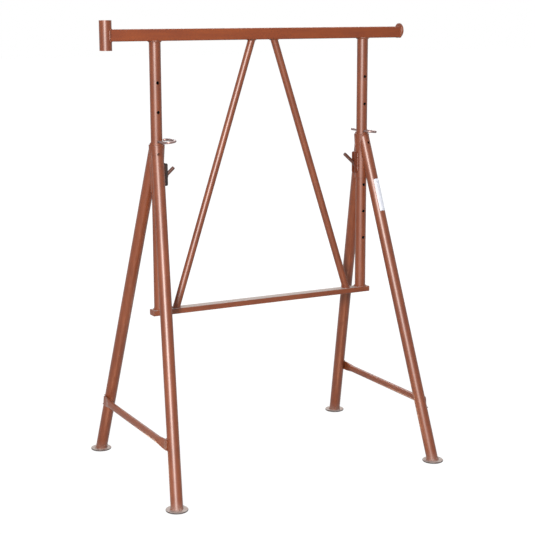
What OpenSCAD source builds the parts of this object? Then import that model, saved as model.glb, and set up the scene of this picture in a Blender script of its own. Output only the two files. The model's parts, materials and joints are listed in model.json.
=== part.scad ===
// Builders trestle: a beam frame whose two uprights slide in the sleeves of two splayed leg frames.
// Pins through the uprights rest on the sleeve rims and set the height of the beam.
// X runs along the beam, -Y is the front, +Z is up. The origin is on the floor under the middle.

/* [Beam] */
// Width and height of the square beam tube
beam_w = 40; // [34:1:60]
// Wall of the beam tube
beam_wall = 3; // [2:0.5:4]
// Outer corner radius of the beam tube
beam_corner_r = 5; // [4.5:0.5:9]
// Distance from the left upright's axis to the guard post socket's axis
socket_reach = 176; // [120:1:260]
// Distance from the right upright's axis to the beam's right end
stop_reach = 155; // [90:1:260]
// Outer diameter of the guard post socket
socket_d = 42; // [42:0.5:60]
// Wall of the guard post socket
socket_wall = 3.2; // [2:0.1:5]
// Length of the guard post socket, centred on the beam's height
socket_l = 100; // [60:1:160]
// Diameter of the end stop disc
stop_d = 52; // [46:1:80]
// Thickness of the end stop disc
stop_t = 8; // [5:0.5:12]
// Bevel on the rim of the end stop disc
stop_bevel = 1.5; // [0.5:0.1:2]

/* [Uprights] */
// Distance between the axes of the two uprights
upright_gap = 826; // [600:1:1200]
// Outer diameter of the uprights
upright_d = 40; // [36:0.5:42]
// Wall of the uprights
upright_wall = 3; // [2:0.5:5]
// Spacing of the height holes
hole_pitch = 100; // [80:1:120]
// Number of height holes in each upright
hole_count = 7; // [4:1:9]
// Diameter of the height holes
hole_d = 11; // [10:0.1:14]
// Number of free holes above the one that holds the pin
free_hole_count = 2; // [1:1:3]
// Distance from the beam's underside to the first hole
first_hole_drop = 140; // [60:1:220]
// Distance from the last hole to the rail's top face
last_hole_rise = 190; // [120:1:260]

/* [Braces and rail] */
// Outer diameter of the braces
brace_d = 26; // [20:0.5:34]
// Wall of the braces
brace_wall = 2.3; // [1.5:0.1:4]
// Distance between the brace axes at the beam's underside
brace_top_gap = 89; // [60:1:200]
// Distance from each upright's axis to its brace's axis at the rail
brace_foot_in = 63; // [56:1:160]
// Depth of the rail tube, front to back
rail_w = 40; // [30:1:60]
// Height of the rail tube
rail_h = 20; // [15:1:40]
// Wall of the rail tube
rail_wall = 2.5; // [1.5:0.5:3]
// Outer corner radius of the rail tube
rail_corner_r = 3.5; // [3.5:0.5:6]
// How far the rail tube runs out past each upright
rail_over = 8; // [2:1:40]
// Thickness of the plates that close the rail's ends
rail_cap_t = 2; // [1:0.5:5]

/* [Sleeves] */
// Height of the sleeve rims above the floor
rim_z = 1191; // [900:1:1400]
// Length of each sleeve
sleeve_l = 170; // [150:1:260]
// Outer diameter of the sleeves
sleeve_d = 48; // [46:0.5:54]
// Running gap between an upright and its sleeve, all round
slide_gap = 0.4; // [0.3:0.05:0.8]

/* [Legs] */
// Outer diameter of the leg tubes
leg_d = 42; // [38:0.5:46]
// Wall of the leg tubes
leg_wall = 3; // [2:0.5:5]
// How far the leg tops stay below the sleeve rim
leg_top_drop = 8; // [4:1:20]
// Height above the rim at which the leg axes would meet
apex_rise = 12; // [6:1:30]
// Thickness of the leg's collar round the sleeve at its top
collar_t = 4; // [3:0.5:6]
// Length over which that collar thins out
collar_l = 62; // [40:1:64]
// How far each foot stands out past the upright along the beam
foot_out = 103; // [60:1:160]
// How far each foot stands out in front of or behind the upright
foot_spread = 356; // [300:1:450]
// Diameter of the foot plates
foot_d = 76; // [64:1:100]
// Thickness of the foot plates
foot_t = 5; // [3:0.5:10]
// Bevel on the rim of the foot plates
foot_bevel = 1.2; // [0.5:0.1:1.4]
// Diameter of the vent hole near each leg's top
vent_d = 9.5; // [5:0.5:12]
// Distance from the apex down the leg to its vent hole
vent_drop = 58; // [50:1:70]
// How far the vent hole is turned outward from the leg's front
vent_turn = 12; // [0:1:40]

/* [Leg ties] */
// Height of the leg ties above the floor
tie_z = 206; // [120:1:400]
// Outer diameter of the leg ties
tie_d = 25; // [20:0.5:32]
// Wall of the leg ties
tie_wall = 2; // [1.5:0.5:3]
// Thickness of a tie's flattened ends
tie_flat_t = 4; // [4:0.5:8]
// Width of a tie's flattened ends
tie_flat_w = 36; // [34:1:48]
// Corner radius of a tie's flattened ends
tie_corner_r = 6; // [3:0.5:10]
// How far a tie's end laps past the leg's axis
tie_lap = 1; // [0:1:6]
// Length of a tie's flattened ends
tie_flat_l = 28; // [28:1:60]
// Length over which a tie's tube turns flat
tie_taper_l = 46; // [20:1:60]

/* [Height pins] */
// Diameter of the pin bar
pin_d = 9; // [7:0.1:9.4]
// Length of the pin's leg behind the upright's axis when pushed home
pin_tail = 73; // [60:1:90]
// Distance from the upright's axis to the start of the bow when pushed home
pin_bow_start = 25; // [25:1:40]
// Radius of the bow's turn, on the bar's axis
pin_turn_r = 21; // [20:0.5:30]
// Straight length of the bow's return limb
pin_limb_l = 45; // [30:1:60]
// Radius of the curl at the bow's end, on the bar's axis
pin_curl_r = 19; // [10:0.5:20]
// Angle of the curl at the bow's end
pin_curl_angle = 62; // [30:1:64]
// Straight length after the curl at the bow's end
pin_tip_l = 3; // [1:0.5:6]
// How far the left pin stands drawn forward
left_pin_draw = 34; // [0:1:36]
// How far the left bow is turned up about the pin's leg
left_pin_roll = 6; // [0, 6]
// How far the right bow is turned down about the pin's leg
right_pin_roll = 6; // [0, 6]
// Gap between a pin and what it bears on
seat_gap = 0.3; // [0.2:0.05:0.5]

/* [Clamp levers] */
// Distance from the sleeve rim down to the lever's pivot
pivot_drop = 117; // [116:1:130]
// Distance from the upright's axis to the lever's pivot
pivot_out = 30.4; // [30.4:0.1:30.8]
// Diameter of the lever bar
lever_d = 12.5; // [10:0.5:12.5]
// Thickness of the lever's cam
cam_w = 13; // [13:0.5:16]
// Length of the left lever from its pivot to its end
left_lever_l = 43; // [36:1:66]
// Length of the right lever from its pivot to its end
right_lever_l = 59; // [36:1:66]
// Bevel on the rim of the lever's end
lever_bevel = 1.5; // [0.5:0.1:3]
// Angle of the lever above level
lever_angle = 42; // [40:1:48]
// Radius of the lever's cam
cam_r = 9; // [8.8:0.1:9.4]
// Gap between the cam and the upright
cam_gap = 0.3; // [0.2:0.05:0.6]
// Diameter of the pivot rivet
pivot_d = 8; // [6:0.1:8.5]
// Running gap round the pivot rivet
pivot_gap = 0.05; // [0.02:0.01:0.1]
// Diameter of the pivot rivet's heads
rivet_head_d = 9.6; // [9:0.1:9.8]
// Height of the pivot rivet's heads
rivet_head_t = 1.5; // [1:0.5:4]
// Thickness of the bracket's cheeks
cheek_t = 3; // [3:0.5:6]
// Height of the bracket's cheeks
cheek_h = 78; // [60:1:78]
// How far the middle of the cheeks lies above the pivot
cheek_rise = 6; // [0:1:6]
// Distance from the upright's axis to the outer edge of the cheeks
cheek_reach = 35.5; // [35.5:0.5:46]
// Corner radius of the cheeks
cheek_corner_r = 5; // [4:0.5:8]
// Side gap between the lever and the cheeks
cheek_gap = 0.5; // [0.3:0.1:1]

/* [Hidden] */
// Gap left for the weld between two curved faces that are welded together
weld_gap = 0.2;
// How far a cut runs past the face that it opens
overrun = 2;
// Angle between the rings of a rounded bar end, and the angle at which it ends flat
round_step = 20;
round_top = 80;
paint = "#8c4a33";
bare_steel = "#6f625c";
$fn = 64;

upright_r = upright_d / 2;
sleeve_r = sleeve_d / 2;
leg_r = leg_d / 2;
pin_r = pin_d / 2;
socket_r = socket_d / 2;

overall_l = socket_r + socket_reach + upright_gap + stop_reach + stop_t;
socket_x = socket_r - overall_l / 2;
left_x = socket_x + socket_reach;
right_x = left_x + upright_gap;
stop_x = right_x + stop_reach;
mid_x = (left_x + right_x) / 2;

pin_z = rim_z + pin_r + seat_gap;
hole_play = (hole_d - pin_d) / 2 - seat_gap;
top_hole_z = pin_z - hole_play + free_hole_count * hole_pitch;
last_hole_z = top_hole_z - (hole_count - 1) * hole_pitch;
beam_z = top_hole_z + first_hole_drop;
rail_top_z = last_hole_z - last_hole_rise;
rail_end = upright_r + rail_over;

apex_z = rim_z + apex_rise;
leg_top_z = rim_z - leg_top_drop;
lean = atan(foot_out / apex_z);
slope_l = sqrt(pow(apex_z, 2) + pow(foot_out, 2));
splay = atan(foot_spread / slope_l);
leg_l = sqrt(pow(slope_l, 2) + pow(foot_spread, 2));

pivot_z = rim_z - pivot_drop;
cam_off = pivot_out - upright_r - cam_gap - cam_r;
cheek_y = cam_w / 2 + cheek_gap;
cheek_out_y = cheek_y + cheek_t;
window_h = 2 * (cam_r + cam_off + cheek_gap);

// A round bar along Y from y0 to y1
module bar_y(d, y0, y1) {
    translate([0, y0, 0])
        rotate([-90, 0, 0])
            cylinder(d = d, h = y1 - y0);
}

// A round bar from z = 0 to z = l, with a rounded end of half a diameter beyond
module round_bar(d, l) {
    rotate_extrude()
        polygon(concat(
            [[0, 0], [d / 2, 0]],
            [for (a = [0 : round_step : round_top]) [d / 2 * cos(a), l + d / 2 * sin(a)]],
            [[0, l + d / 2 * sin(round_top)]]
        ));
}

// A round bar from z = 0 to z = l, with the rim of its far end bevelled
module bevelled_bar(d, l, bevel) {
    rotate_extrude()
        polygon([[0, 0], [d / 2, 0], [d / 2, l - bevel], [d / 2 - bevel, l], [0, l]]);
}

// A bar along X from x0 to x1, centred on Y and Z, with rounded long edges
module rounded_bar(x0, x1, w, h, r) {
    translate([x0, -w / 2, -h / 2 + r])
        cube([x1 - x0, w, h - 2 * r]);
    translate([x0, -w / 2 + r, -h / 2])
        cube([x1 - x0, w - 2 * r, h]);
    for (y = [-w / 2 + r, w / 2 - r], z = [-h / 2 + r, h / 2 - r])
        translate([x0, y, z])
            rotate([0, 90, 0])
                cylinder(r = r, h = x1 - x0);
}

// A rectangular tube along X
module box_tube(x0, x1, w, h, r, wall) {
    difference() {
        rounded_bar(x0, x1, w, h, r);
        rounded_bar(x0 - overrun, x1 + overrun, w - 2 * wall, h - 2 * wall, r - wall);
    }
}

// A round plate of thickness t with bevelled rims, standing on z = 0
module bevelled_disc(d, t, bevel) {
    cylinder(d1 = d - 2 * bevel, d2 = d, h = bevel);
    translate([0, 0, bevel])
        cylinder(d = d, h = t - 2 * bevel);
    translate([0, 0, t - bevel])
        cylinder(d1 = d, d2 = d - 2 * bevel, h = bevel);
}

// The square tube that carries the boards, notched at its left end to fit round the socket
module top_beam() {
    color(paint)
        difference() {
            translate([0, 0, beam_z + beam_w / 2])
                box_tube(socket_x, stop_x, beam_w, beam_w, beam_corner_r, beam_wall);
            translate([socket_x, 0, beam_z - overrun])
                cylinder(r = socket_r + weld_gap, h = beam_w + 2 * overrun);
        }
}

// The upright tube at the beam's left end that takes a guard post
module guard_post_socket() {
    color(paint)
        translate([socket_x, 0, beam_z + beam_w / 2 - socket_l / 2])
            difference() {
                cylinder(r = socket_r, h = socket_l);
                translate([0, 0, -overrun])
                    cylinder(r = socket_r - socket_wall, h = socket_l + 2 * overrun);
            }
}

// The disc on the beam's right end, flush below and standing proud of the boards' seat
module end_stop() {
    color(paint)
        translate([stop_x, 0, beam_z + stop_d / 2])
            rotate([0, 90, 0])
                bevelled_disc(stop_d, stop_t, stop_bevel);
}

// A tube from the rail to the beam with its row of height holes through front and back
module upright(x) {
    color(paint)
        translate([x, 0, 0])
            difference() {
                translate([0, 0, rail_top_z])
                    cylinder(r = upright_r, h = beam_z - rail_top_z);
                translate([0, 0, rail_top_z - overrun])
                    cylinder(r = upright_r - upright_wall, h = beam_z - rail_top_z + 2 * overrun);
                for (i = [0 : hole_count - 1])
                    translate([0, 0, top_hole_z - i * hole_pitch])
                        bar_y(hole_d, -upright_r - overrun, upright_r + overrun);
            }
}

module left_upright() {
    upright(left_x);
}

module right_upright() {
    upright(right_x);
}

// A tube that leans from the rail beside an upright to the beam near its middle
module brace(side) {
    foot_x = mid_x + side * (upright_gap / 2 - brace_foot_in);
    head_x = mid_x + side * brace_top_gap / 2;
    rise = beam_z - rail_top_z;
    tilt = atan((head_x - foot_x) / rise);
    reach = rise / cos(tilt) + 2 * brace_d;
    color(paint)
        intersection() {
            translate([foot_x, 0, rail_top_z])
                rotate([0, tilt, 0])
                    translate([0, 0, -brace_d])
                        difference() {
                            cylinder(d = brace_d, h = reach);
                            translate([0, 0, -overrun])
                                cylinder(d = brace_d - 2 * brace_wall, h = reach + 2 * overrun);
                        }
            translate([mid_x - upright_gap / 2, -brace_d, rail_top_z])
                cube([upright_gap, 2 * brace_d, rise]);
        }
}

module left_brace() {
    brace(-1);
}

module right_brace() {
    brace(1);
}

// The flat tube that ties the feet of the uprights and braces
module bottom_rail() {
    color(paint)
        translate([0, 0, rail_top_z - rail_h / 2])
            box_tube(left_x - rail_end, right_x + rail_end, rail_w, rail_h, rail_corner_r, rail_wall);
}

// The two plates that close the rail's ends
module rail_end_caps() {
    color(paint)
        for (x = [left_x - rail_end - rail_cap_t, right_x + rail_end])
            translate([0, 0, rail_top_z - rail_h / 2])
                rounded_bar(x, x + rail_cap_t, rail_w, rail_h, rail_corner_r);
}

// The tube that an upright slides in, with a window for the cam on its inner side
module sleeve(x, side) {
    color(paint)
        translate([x, 0, 0])
            difference() {
                translate([0, 0, rim_z - sleeve_l])
                    cylinder(r = sleeve_r, h = sleeve_l);
                translate([0, 0, rim_z - sleeve_l - overrun])
                    cylinder(r = upright_r + slide_gap, h = sleeve_l + 2 * overrun);
                translate([-side * sleeve_r, 0, pivot_z])
                    cube([sleeve_d, 2 * cheek_y, window_h], center = true);
            }
}

module left_sleeve() {
    sleeve(left_x, -1);
}

module right_sleeve() {
    sleeve(right_x, 1);
}

// A leg pair's own frame: its origin is where the leg axes would meet, and its -Z runs down between them
module leg_frame(x, side) {
    translate([x, 0, apex_z])
        rotate([0, -side * lean, 0])
            children();
}

// A bar along a leg's axis, from from_l to to_l below the apex
module leg_bar(end, d, from_l, to_l) {
    rotate([end * splay, 0, 0])
        translate([0, 0, -to_l])
            cylinder(d = d, h = to_l - from_l);
}

// A leg tube: its top spreads into half a collar on the sleeve, and it ends level on its foot plate
module leg(x, side, end) {
    room = foot_out + foot_spread;
    color(paint)
        difference() {
            union() {
                leg_frame(x, side)
                    leg_bar(end, leg_d, 0, leg_l + leg_d);
                translate([x, 0, leg_top_z - collar_l])
                    cylinder(r1 = sleeve_r, r2 = sleeve_r + collar_t, h = collar_l);
            }
            leg_frame(x, side) {
                leg_bar(end, leg_d - 2 * leg_wall, leg_d, leg_l + leg_d + overrun);
                rotate([end * splay, 0, 0])
                    rotate([0, 0, -side * end * vent_turn])
                        translate([0, 0, -vent_drop])
                            bar_y(vent_d, min(0, end * leg_d), max(0, end * leg_d));
            }
            translate([x, 0, leg_top_z - sleeve_l])
                cylinder(r = sleeve_r + weld_gap, h = sleeve_l + apex_rise + leg_d);
            translate([x - room, -room, leg_top_z])
                cube([2 * room, 2 * room, apex_rise + leg_d]);
            translate([x - room, -room, foot_t - 2 * leg_d])
                cube([2 * room, 2 * room, 2 * leg_d]);
            translate([x - room, end > 0 ? weld_gap - room : -weld_gap, foot_t])
                cube([2 * room, room, apex_z]);
        }
}

module left_front_leg() {
    leg(left_x, -1, -1);
}

module left_rear_leg() {
    leg(left_x, -1, 1);
}

module right_front_leg() {
    leg(right_x, 1, -1);
}

module right_rear_leg() {
    leg(right_x, 1, 1);
}

// The round plate under a leg
module foot(x, side, end) {
    color(paint)
        translate([x + side * foot_out, end * foot_spread, 0])
            bevelled_disc(foot_d, foot_t, foot_bevel);
}

module left_front_foot() {
    foot(left_x, -1, -1);
}

module left_rear_foot() {
    foot(left_x, -1, 1);
}

module right_front_foot() {
    foot(right_x, 1, -1);
}

module right_rear_foot() {
    foot(right_x, 1, 1);
}

// A flat tongue along +Y from y0 to its round-cornered tip at y1
module tie_tongue(y0, y1) {
    translate([-tie_flat_t / 2, y0, -tie_flat_w / 2])
        cube([tie_flat_t, y1 - y0 - tie_corner_r, tie_flat_w]);
    translate([-tie_flat_t / 2, y0, -tie_flat_w / 2 + tie_corner_r])
        cube([tie_flat_t, y1 - y0, tie_flat_w - 2 * tie_corner_r]);
    for (z = [-tie_flat_w / 2 + tie_corner_r, tie_flat_w / 2 - tie_corner_r])
        translate([-tie_flat_t / 2, y1 - tie_corner_r, z])
            rotate([0, 90, 0])
                cylinder(r = tie_corner_r, h = tie_flat_t);
}

// A tube across a pair of legs on their outer side, with its ends pressed flat on the legs
module leg_tie(x, side) {
    drop = (apex_z - tie_z) / cos(lean);
    tip_y = drop * tan(splay) + tie_lap;
    flat_y = tip_y - tie_flat_l;
    tube_y = flat_y - tie_taper_l;
    color(paint)
        leg_frame(x, side)
            translate([side * (leg_r + weld_gap + tie_flat_t / 2), 0, -drop]) {
                difference() {
                    bar_y(tie_d, -tube_y, tube_y);
                    bar_y(tie_d - 2 * tie_wall, tie_wall - tube_y, tube_y - tie_wall);
                }
                for (turn = [0, 180])
                    rotate([0, 0, turn]) {
                        tie_tongue(flat_y, tip_y);
                        hull() {
                            bar_y(tie_d, tube_y - tie_wall, tube_y, $fn = 32);
                            translate([-tie_flat_t / 2, flat_y, -tie_flat_w / 2])
                                cube([tie_flat_t, tie_wall, tie_flat_w]);
                        }
                    }
            }
}

module left_leg_tie() {
    leg_tie(left_x, -1);
}

module right_leg_tie() {
    leg_tie(right_x, 1);
}

// Places a lever's parts on an upright at the pivot's height, with +X towards the middle of the trestle
module inner_side(x, side) {
    translate([x, 0, pivot_z])
        rotate([0, 0, side > 0 ? 180 : 0])
            children();
}

// The two cheek plates that stand out from a sleeve and carry the lever's pivot
module lever_cheeks(x, side) {
    color(paint)
        inner_side(x, side)
            difference() {
                for (y = [-cheek_out_y, cheek_y])
                    translate([cheek_reach / 2, y, cheek_rise])
                        rotate([0, 0, 90])
                            rounded_bar(0, cheek_t, cheek_reach, cheek_h, cheek_corner_r);
                translate([0, 0, cheek_rise - cheek_h])
                    cylinder(r = sleeve_r + weld_gap, h = 2 * cheek_h);
                translate([pivot_out, 0, 0])
                    bar_y(pivot_d + 2 * pivot_gap, -cheek_out_y - overrun, cheek_out_y + overrun);
            }
}

module left_lever_cheeks() {
    lever_cheeks(left_x, -1);
}

module right_lever_cheeks() {
    lever_cheeks(right_x, 1);
}

// The rivet through both cheeks that the lever turns on
module lever_pivot(x, side) {
    color(paint)
        inner_side(x, side)
            translate([pivot_out, 0, 0]) {
                bar_y(pivot_d, -cheek_out_y, cheek_out_y);
                bar_y(rivet_head_d, cheek_out_y, cheek_out_y + rivet_head_t);
                bar_y(rivet_head_d, -cheek_out_y - rivet_head_t, -cheek_out_y);
            }
}

module left_lever_pivot() {
    lever_pivot(left_x, -1);
}

module right_lever_pivot() {
    lever_pivot(right_x, 1);
}

// A round bar with a bevelled end, and an eccentric cam at its pivot that bears on the upright
module clamp_lever(x, side, l) {
    color(paint)
        inner_side(x, side)
            translate([pivot_out, 0, 0])
                difference() {
                    union() {
                        translate([-cam_off, 0, 0])
                            bar_y(2 * cam_r, -cam_w / 2, cam_w / 2);
                        rotate([0, 90 - lever_angle, 0])
                            bevelled_bar(lever_d, l, lever_bevel);
                    }
                    bar_y(pivot_d + 2 * pivot_gap, -cam_w, cam_w);
                }
}

module left_clamp_lever() {
    clamp_lever(left_x, -1, left_lever_l);
}

module right_clamp_lever() {
    clamp_lever(right_x, 1, right_lever_l);
}

// A bent bar: a straight leg through the upright, a round turn in front, and a limb that curls in behind
module height_pin(x, draw, roll) {
    color(bare_steel)
        translate([x, -draw - pin_bow_start, pin_z])
            rotate([0, roll, 0]) {
                rotate([-90, 0, 0])
                    round_bar(pin_d, pin_bow_start + pin_tail - pin_r);
                pin_bow();
            }
}

// A bend of the pin's bar round Z, from +X through the given angle
module bar_bend(r, turn) {
    rotate_extrude(angle = turn)
        translate([r, 0])
            circle(d = pin_d);
}

// The pin's bow, level, with its start at the origin
module pin_bow() {
    translate([pin_turn_r, 0, 0])
        rotate([0, 0, 180])
            bar_bend(pin_turn_r, 180);
    translate([2 * pin_turn_r, 0, 0])
        bar_y(pin_d, 0, pin_limb_l);
    translate([2 * pin_turn_r - pin_curl_r, pin_limb_l, 0]) {
        bar_bend(pin_curl_r, pin_curl_angle);
        rotate([0, 0, pin_curl_angle])
            translate([pin_curl_r, 0, 0])
                rotate([-90, 0, 0])
                    round_bar(pin_d, pin_tip_l);
    }
}

module left_height_pin() {
    height_pin(left_x, left_pin_draw, -left_pin_roll);
}

module right_height_pin() {
    height_pin(right_x, 0, right_pin_roll);
}

top_beam();
guard_post_socket();
end_stop();
left_upright();
right_upright();
left_brace();
right_brace();
bottom_rail();
rail_end_caps();
left_sleeve();
left_front_leg();
left_rear_leg();
left_leg_tie();
left_front_foot();
left_rear_foot();
left_lever_cheeks();
left_lever_pivot();
left_clamp_lever();
left_height_pin();
right_sleeve();
right_front_leg();
right_rear_leg();
right_leg_tie();
right_front_foot();
right_rear_foot();
right_lever_cheeks();
right_lever_pivot();
right_clamp_lever();
right_height_pin();
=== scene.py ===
"""Builders trestle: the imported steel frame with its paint, weld beads and a blank label.

It stands on a plain stage, seen from the photograph's viewing angle."""
import json
import math

import bpy
import numpy as np
from bpy.props import FloatProperty, FloatVectorProperty, PointerProperty
from mathutils import Matrix, Vector


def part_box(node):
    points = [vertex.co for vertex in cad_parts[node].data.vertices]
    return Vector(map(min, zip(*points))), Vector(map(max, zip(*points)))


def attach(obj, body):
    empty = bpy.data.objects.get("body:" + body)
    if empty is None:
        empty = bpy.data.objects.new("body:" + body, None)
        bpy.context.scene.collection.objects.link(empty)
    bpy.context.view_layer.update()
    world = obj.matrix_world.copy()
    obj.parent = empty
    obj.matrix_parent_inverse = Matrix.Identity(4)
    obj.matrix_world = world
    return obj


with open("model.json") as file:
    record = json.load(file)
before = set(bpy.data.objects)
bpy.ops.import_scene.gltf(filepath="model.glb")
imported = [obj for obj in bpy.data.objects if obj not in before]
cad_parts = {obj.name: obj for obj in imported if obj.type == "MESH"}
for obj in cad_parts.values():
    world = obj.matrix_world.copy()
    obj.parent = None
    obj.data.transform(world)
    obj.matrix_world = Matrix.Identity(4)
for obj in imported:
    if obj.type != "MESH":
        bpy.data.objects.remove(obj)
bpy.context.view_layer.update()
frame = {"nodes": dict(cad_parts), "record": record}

bl_info = {
    "name": "Builders Trestle",
    "version": (1, 0, 0),
    "blender": (4, 5, 0),
    "location": "View3D > Sidebar > Trestle",
    "description": "Paints the builders trestle, lays its weld beads and label, and sets its stage",
    "category": "Object",
}

SIDES = {"left": -1.0, "right": 1.0}
ENDS = {"front": -1.0, "rear": 1.0}
UP = (0.0, 0.0, 1.0)
WHITE = (1.0, 1.0, 1.0)

# Places of the Mix node's colour sockets
MIX_ONE, MIX_TWO, MIX_RESULT = 6, 7, 2

# Leg pairs, in metres: the tubes' radius, and where their weld beads run
LEG_RADIUS = 0.021
COLLAR_STEP = 0.0016  # ring at the collar's top: off the sleeve
COLLAR_WALL = 0.004
COLLAR_SEAM_SPAN = (0.004, 0.058)  # inner seam: its ends, below the collar's top
COLLAR_SEAM_SHARE = (0.93, 0.08)  # inner seam: off the sleeve at its ends, as shares of the wall
OUTER_SEAM_START = 0.003  # outer seam: below the collar's top
OUTER_SEAM_END = 0.066  # outer seam: below the legs' meeting point
SLEEVE_SEAM_HALF_TURN = 1.12  # radians round the sleeve to either side of the leg
SLEEVE_SEAM_DEPTHS = (0.02, 0.25)  # below the meeting point: where the search for the seam starts
SLEEVE_SEAM_LIFT = 1.02  # times the sleeve's radius
TIE_RIM = 0.0186  # edges of a tie's end, from its middle
TIE_HALF_WIDTH = 0.011
TIE_LIFT = 0.0004  # off the leg
CHEEK_LIFT = (0.0006, 0.0008)  # off the sleeve along x, and off the cheek plate along y
CHEEK_MARGIN = 0.004  # short of the plate's ends

# Sliding frame, in metres: corner radii of its tubes, and how far a bead lies inside or off an edge
BEAM_CORNER = 0.005
RAIL_CORNER = 0.0035
EDGE_SINK = 0.0012
SOCKET_SINK = 0.0004
SOCKET_LIFT = 0.0006

# Radius of a bead at each place, as a share of the setting
BEAD_SHARE = {"brace": 0.85, "socket": 0.9, "stop": 0.7, "collar": 0.55, "seam": 0.6, "foot": 0.6,
              "tie": 0.45}

# Points of a bead: round it, for each ripple, the fewest along it, and along each kind of open path
BEAD_ROUND = 10
RIPPLE_POINTS = 4.0
FEWEST_POINTS = 8
SEAM_POINTS = 40
SLEEVE_SEAM_POINTS = 90
TIE_POINTS = 24

# A bead's rounded end: its length in radii, and the least share of it, which keeps the last ring open
BEAD_END = 1.6
BEAD_TIP = 0.02

# Rounds after which a repeated sum has settled
SLOPE_ROUNDS = 12
SEAM_ROUNDS = 40

# Label: points across and along it, the share of its length that rounds a corner, the gap under it
LABEL_GRID = (49, 41)
LABEL_CORNER = 0.08
LABEL_LIFT = 0.00005

# Tints of the finishes on single pieces; those of the brackets and of the tubes' inside are painted
# shade
BEAM_SHADE = (1.13, 0.88, 0.27)
# painted shadow: the left bracket made nearly black, as in the front leg's shadow
LEFT_BRACKET_PAINTED_SHADOW = (0.08, 0.08, 0.08)
# painted shade: the right bracket made a little darker and redder
RIGHT_BRACKET_PAINTED_SHADE = (0.75, 0.66, 0.55)
LEVER_SHADE = (0.42, 0.50, 0.85)
WELD_SHADE = (0.95, 0.95, 0.95)
# painted shade: the inside of the tubes made near black
BORE_PAINTED_SHADE = (0.25, 0.25, 0.25)
GREYED_VINYL = (0.62, 0.60, 0.58)

# Noise cells a metre along x, y and z that draw a pattern out along one axis
UPRIGHT_RUN = (70.0, 70.0, 5.0)
LEVEL_RUN = (5.0, 70.0, 70.0)
SLIDE_SCRATCHES = (520.0, 520.0, 7.0)
BOARD_SCRATCHES = (380.0, 16.0, 16.0)
BAR_SCRATCHES = (900.0, 60.0, 900.0)

# Shares of the fine scratches along the height
FEW_SCRATCHES = 0.10
SOME_SCRATCHES = 0.18
SLIDING_SCRATCHES = 0.45

# Noise levels between which each kind of wear comes in
THICK_LEVELS = (0.38, 0.62)
RUB_LEVELS = (0.585, 0.70)
SCRATCH_LEVELS = (0.60, 0.72)
BOARD_LEVELS = (0.44, 0.62)
CHIP_LEVELS = (0.668, 0.684)
SPECK_LEVELS = (0.68, 0.76)
DUST_LEVELS = (0.30, 0.62)
FOOT_WORN_LEVELS = (0.24, 0.50)
RUST_LEVELS = (0.36, 0.62)
VINYL_SPECK_LEVELS = (0.62, 0.75)

# Depths below a face between which its wear, its pale top or the painted shade inside a tube comes
# in, and heights of the foot plates' rim, in metres
SEAT_DEPTHS = (0.0015, 0.0002)
LEDGE_DEPTHS = (0.0012, 0.0002)
BORE_DEPTHS = (0.0009, 0.0005)
FOOT_RIM = (0.0040, 0.0049)

# Lamps, in metres: places, sizes and the point that they look at
LAMP_AIM = (0.0, 0.0, 0.8)
KEY_PLACE = (-3.62, -5.05, 2.6)
KEY_SIZE = (0.8, 1.0)
BACK_PLACE = (2.2, 4.2, 4.5)
SIDE_PLACE = (4.6, 1.0, 4.4)
SOFT_SIZE = (2.0, 2.0)

# Strips of light on the ground, in metres: their ends, height, and a lean that turns them lengthwise
GROUND_STRIPS = {
    "left_strip": ((-0.56, 0.22), (-1.10, -1.00)),
    "right_strip": ((0.45, 0.20), (-1.02, -3.18)),
}
STRIP_HEIGHT = 0.012
STRIP_LEAN = 0.001

# Floor: half side and depth below the feet in metres, and cells along a side
FLOOR_HALF = 40.0
FLOOR_DROP = 0.0004
FLOOR_CELLS = 8

# What the eye sees of the floor: a glow that rises between two distances, its share, and lit paint
FLOOR_GLOW = 1.085
FLOOR_GLOW_RISE = 0.07
FLOOR_GLOW_SPAN = (1.0, 5.0)
FLOOR_GLOW_SHARE = 0.86
FLOOR_SEEN = (0.8, 0.8, 0.8)

# Upward shares of a direction between which the light of the four sides rises from the horizon
HORIZON = (0.02, 0.22)

# Camera: sensor width in millimetres and farthest distance in metres
SENSOR_WIDTH = 36.0
FAR_CLIP = 100.0


class PaintSettings(bpy.types.PropertyGroup):
    """Colours and gloss of the trestle's finishes"""

    oxide: FloatVectorProperty(
        name="Oxide paint", description="Main colour of the red-brown enamel",
        subtype="COLOR", size=3, min=0.0, max=1.0, default=(0.258, 0.064, 0.019))
    oxide_deep: FloatVectorProperty(
        name="Deep oxide", description="Colour where the enamel lies thicker",
        subtype="COLOR", size=3, min=0.0, max=1.0, default=(0.192, 0.041, 0.01))
    rubbed: FloatVectorProperty(
        name="Rubbed paint", description="Colour of the enamel where it has been rubbed",
        subtype="COLOR", size=3, min=0.0, max=1.0, default=(0.285, 0.1, 0.046))
    # Dust also makes the rail's pale top, which is in part a painted sheen of the sky.
    dust: FloatVectorProperty(
        name="Dust", description="Colour of dust near the ground, on the rail and the foot plates",
        subtype="COLOR", size=3, min=0.0, max=1.0, default=(0.50, 0.45, 0.39))
    # This colour also makes the painted shade inside the tubes.
    soil_and_shade: FloatVectorProperty(
        name="Soil", description="Colour of the foot plates' rims, of specks and inside the tubes",
        subtype="COLOR", size=3, min=0.0, max=1.0, default=(0.030, 0.022, 0.020))
    steel: FloatVectorProperty(
        name="Bare steel", description="Colour of the handled pins and of chips in the enamel",
        subtype="COLOR", size=3, min=0.0, max=1.0, default=(0.24, 0.175, 0.165))
    vinyl: FloatVectorProperty(
        name="Label", description="Colour of the blank label",
        subtype="COLOR", size=3, min=0.0, max=1.0, default=(0.98, 0.99, 0.99))
    gloss: FloatProperty(
        name="Paint roughness", description="Roughness of clean enamel",
        subtype="FACTOR", min=0.0, max=1.0, default=0.42)
    dust_height: FloatProperty(
        name="Dust height", description="Height to which dust lies on the legs",
        unit="LENGTH", min=0.0, default=0.045)


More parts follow.
